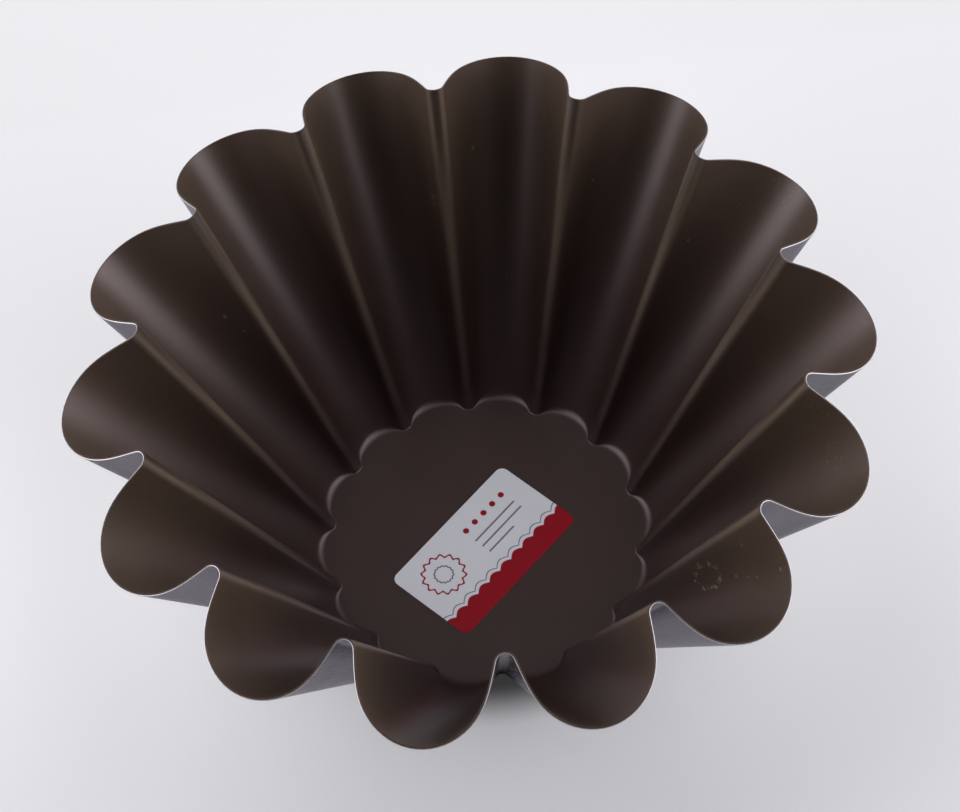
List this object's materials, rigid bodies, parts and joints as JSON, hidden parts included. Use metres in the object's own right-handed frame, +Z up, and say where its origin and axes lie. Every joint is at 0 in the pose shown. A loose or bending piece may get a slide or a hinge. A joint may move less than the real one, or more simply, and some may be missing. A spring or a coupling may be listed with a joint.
{
  "type": "brioche mould",
  "caption": "Deep flared baking mould with rounded flutes, a wavy plain-cut rim and a flat scalloped base: bare steel outside, brown non-stick coat inside, paper label on the base.",
  "frame": {"origin": "centre of the underside of the flat base", "axes": "+Z up along the mould's axis through the open mouth, +X through the crest of a flute"},
  "size_m": [0.2, 0.1958, 0.0907],
  "materials": {
    "bare_steel": "satin, bare sheet steel",
    "nonstick_coat": "satin dark brown non-stick coat",
    "adhesive": "clear tacky film",
    "label_paper": "smooth printed paper"
  },
  "bodies": {
    "root": {"steel_pressing": "bare_steel", "nonstick_lining": "nonstick_coat", "label_adhesive": "adhesive", "label_face": "label_paper"}
  },
  "joints": []
}
